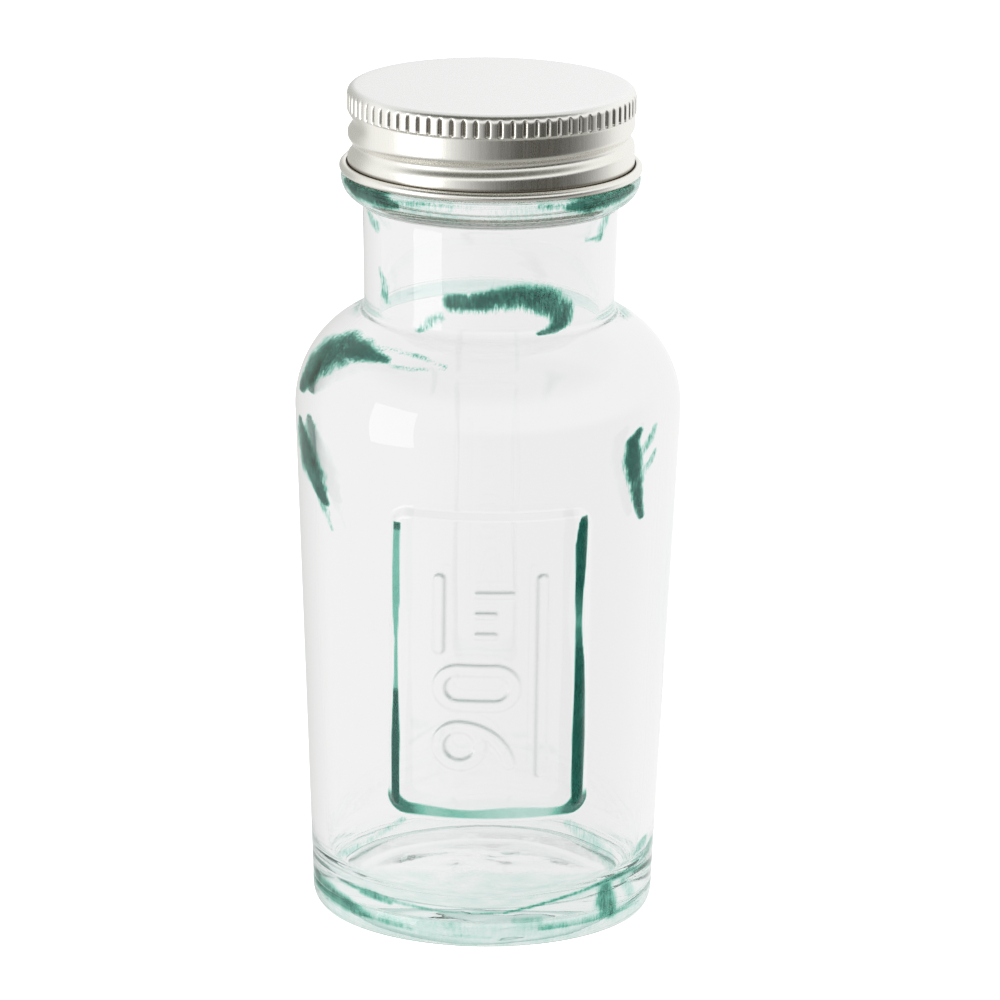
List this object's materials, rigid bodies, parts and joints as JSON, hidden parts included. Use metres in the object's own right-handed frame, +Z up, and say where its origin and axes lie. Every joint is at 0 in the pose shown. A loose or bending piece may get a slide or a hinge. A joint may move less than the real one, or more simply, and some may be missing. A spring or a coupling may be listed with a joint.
{
  "type": "screw-top jar",
  "caption": "Small clear glass jar with a tapered round body, a raised panel on the front and a threaded aluminium screw lid.",
  "frame": {"origin": "Centre of the jar's base, on the surface that it stands on.", "axes": "+Z up along the jar's axis, -Y to the front, where the raised panel is, +X to the right seen from the front."},
  "size_m": [0.0656, 0.0663, 0.1431],
  "materials": {
    "glass": "clear, pressed and blown, faint green",
    "lid_metal": "satin, rolled",
    "liner_foam": "matt white foam"
  },
  "bodies": {
    "jar": {"jar": "glass"},
    "liner": {"liner": "liner_foam"},
    "lid": {"lid": "lid_metal"}
  },
  "joints": [
    {"name": "lid_lift", "type": "slide", "parent": "jar", "child": "liner", "axis": [0, 0, 1], "range_m": [0, 0.02116]},
    {"name": "lid_turn", "type": "hinge", "parent": "liner", "child": "lid", "pos_m": [0, 0, 0.1424], "axis": [0, 0, 1], "range_deg": [0, 1800]}
  ],
  "couplings": [
    {"joint": "lid_lift", "follows": "lid_turn", "m_per_rad": 0.0006737}
  ]
}
